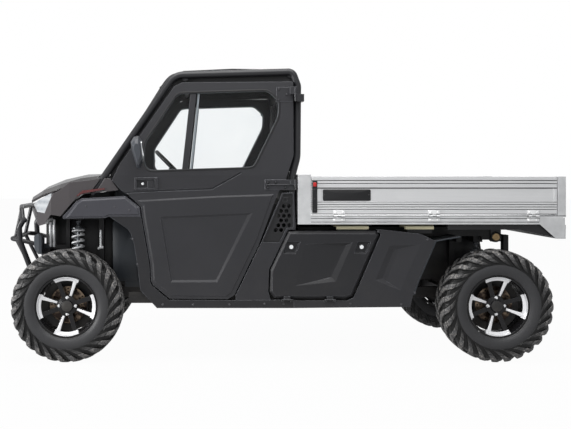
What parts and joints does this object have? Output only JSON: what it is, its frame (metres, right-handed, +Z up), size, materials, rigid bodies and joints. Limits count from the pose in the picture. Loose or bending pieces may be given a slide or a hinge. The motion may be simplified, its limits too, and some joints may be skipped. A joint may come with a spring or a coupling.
{
  "type": "side by side utility vehicle",
  "caption": "Side by side utility vehicle with an enclosed two-door cab, tipping drop-side load bed, bull bar, lugged tyres and storage lids in its sides.",
  "frame": {"origin": "on the ground, at the middle of the bounding box seen from above", "axes": "+X forwards, +Y to the vehicle's left, +Z up"},
  "size_m": [3.575, 1.81, 1.8623],
  "materials": {
    "tyre": "black rubber, dusty on the lugs",
    "rim": "gloss black cast rim with machined arcs",
    "frame_black": "satin black powder coat",
    "suspension": "satin black",
    "engine": "as cast",
    "body_dark": "dark charcoal, fine grain",
    "fascia": "gloss dark brown-black",
    "trim_black": "black grained plastic",
    "glass_tint": "blue-grey tint",
    "lamp_clear": "clear lens",
    "lamp_red": "red lens",
    "bed_alu": "anodised extrusions",
    "galvanised": "galvanised",
    "pad": "pale yellow polyurethane",
    "seat": "black vinyl",
    "lift": "bright rod, black barrel",
    "mirror": "black shell"
  },
  "bodies": {
    "root": {"bed_pads": "pad", "bull_bar": "frame_black", "bumper_corners": "body_dark", "cab_frame": "frame_black", "cab_tub": "trim_black", "chassis_frame": "frame_black", "dampers": "suspension", "dashboard": "trim_black", "drive_line": "suspension", "engine_block": "engine", "fenders": "body_dark", "front_arms": "suspension", "grille": "trim_black", "headlamps": "lamp_clear", "marker_lamps": "lamp_red", "nose": "fascia", "quarter_panels": "body_dark", "rear_glass": "glass_tint", "rear_liners": "trim_black", "rear_panels": "body_dark", "rear_suspension": "suspension", "rear_wall": "trim_black", "roof_panel": "trim_black", "seat_backs": "seat", "seat_cushions": "seat", "side_vents": "trim_black", "sills": "body_dark", "steering_column": "trim_black", "storage_bins": "trim_black", "windscreen": "glass_tint"},
    "wheel_front_left": {"tyre_front_left": "tyre", "rim_front_left": "rim"},
    "wheel_front_right": {"tyre_front_right": "tyre", "rim_front_right": "rim"},
    "wheel_rear_left": {"tyre_rear_left": "tyre", "rim_rear_left": "rim"},
    "wheel_rear_right": {"tyre_rear_right": "tyre", "rim_rear_right": "rim"},
    "knuckle_left": {"knuckle_left": "suspension"},
    "knuckle_right": {"knuckle_right": "suspension"},
    "steering_rack": {"steering_rack": "suspension"},
    "steering_wheel": {"steering_wheel": "trim_black"},
    "door_left": {"door_left": "body_dark", "door_glass_left": "glass_tint", "mirror_left": "mirror"},
    "door_right": {"door_right": "body_dark", "door_glass_right": "glass_tint", "mirror_right": "mirror"},
    "hood": {"hood": "body_dark"},
    "lid_left": {"lid_left": "body_dark"},
    "lid_right": {"lid_right": "body_dark"},
    "bed": {"bed_frame": "bed_alu", "tail_lamp_panel": "galvanised"},
    "board_left": {"board_left": "bed_alu"},
    "board_right": {"board_right": "bed_alu"},
    "tailboard": {"tailboard": "bed_alu"},
    "lift_barrel": {"lift_barrel": "lift"},
    "lift_rod": {"lift_rod": "lift"}
  },
  "joints": [
    {"name": "steer_left", "type": "hinge", "parent": "root", "child": "knuckle_left", "pos_m": [1.345, 0.6, 0.355], "axis": [0, 0, 1], "range_deg": [-30, 30]},
    {"name": "steer_right", "type": "hinge", "parent": "root", "child": "knuckle_right", "pos_m": [1.345, -0.6, 0.355], "axis": [0, 0, 1], "range_deg": [-30, 30]},
    {"name": "roll_front_left", "type": "hinge", "parent": "knuckle_left", "child": "wheel_front_left", "pos_m": [1.345, 0.65, 0.355], "axis": [0, 1, 0], "continuous": true},
    {"name": "roll_front_right", "type": "hinge", "parent": "knuckle_right", "child": "wheel_front_right", "pos_m": [1.345, -0.65, 0.355], "axis": [0, 1, 0], "continuous": true},
    {"name": "roll_rear_left", "type": "hinge", "parent": "root", "child": "wheel_rear_left", "pos_m": [-1.365, 0.65, 0.355], "axis": [0, 1, 0], "continuous": true},
    {"name": "roll_rear_right", "type": "hinge", "parent": "root", "child": "wheel_rear_right", "pos_m": [-1.365, -0.65, 0.355], "axis": [0, 1, 0], "continuous": true},
    {"name": "rack", "type": "slide", "parent": "root", "child": "steering_rack", "axis": [0, 1, 0], "range_m": [-0.043, 0.043]},
    {"name": "steering_wheel", "type": "hinge", "parent": "root", "child": "steering_wheel", "pos_m": [0.673, 0.33, 1.215], "axis": [-0.7071, 0, 0.7071], "range_deg": [-272, 272]},
    {"name": "door_left", "type": "hinge", "parent": "root", "child": "door_left", "pos_m": [-0.094, 0.747, 1.12], "axis": [0, 0, 1], "range_deg": [0, 62]},
    {"name": "door_right", "type": "hinge", "parent": "root", "child": "door_right", "pos_m": [-0.094, -0.747, 1.12], "axis": [0, 0, -1], "range_deg": [0, 62]},
    {"name": "hood", "type": "hinge", "parent": "root", "child": "hood", "pos_m": [1.186, 0, 1.15], "axis": [0, -1, 0], "range_deg": [0, 50]},
    {"name": "lid_left", "type": "hinge", "parent": "root", "child": "lid_left", "pos_m": [0, 0.748, 0.398], "axis": [-1, 0, 0], "range_deg": [0, 90]},
    {"name": "lid_right", "type": "hinge", "parent": "root", "child": "lid_right", "pos_m": [0, -0.748, 0.398], "axis": [1, 0, 0], "range_deg": [0, 90]},
    {"name": "bed_tilt", "type": "hinge", "parent": "root", "child": "bed", "pos_m": [-1.435, 0, 0.776], "axis": [0, -1, 0], "range_deg": [0, 38]},
    {"name": "board_left", "type": "hinge", "parent": "bed", "child": "board_left", "pos_m": [-1, 0.767, 0.926], "axis": [-1, 0, 0], "range_deg": [0, 180]},
    {"name": "board_right", "type": "hinge", "parent": "bed", "child": "board_right", "pos_m": [-1, -0.767, 0.926], "axis": [1, 0, 0], "range_deg": [0, 180]},
    {"name": "tailboard", "type": "hinge", "parent": "bed", "child": "tailboard", "pos_m": [-1.78, 0, 0.926], "axis": [0, -1, 0], "range_deg": [0, 90]},
    {"name": "lift_tilt", "type": "hinge", "parent": "root", "child": "lift_barrel", "pos_m": [-1.15, 0, 0.775], "axis": [0, -1, 0], "range_deg": [0, 51]},
    {"name": "lift_stroke", "type": "slide", "parent": "lift_barrel", "child": "lift_rod", "axis": [0.9928, 0, 0.1194], "range_m": [0, 0.101]}
  ],
  "couplings": [
    {"joint": "steer_right", "follows": "steer_left", "ratio": 1},
    {"joint": "steering_wheel", "follows": "steer_left", "ratio": 9},
    {"joint": "rack", "follows": "steer_left", "m_per_rad": -0.08},
    {"joint": "lift_tilt", "follows": "bed_tilt", "ratio": 1.3189},
    {"joint": "lift_stroke", "follows": "bed_tilt", "m_per_rad": 0.1496}
  ]
}
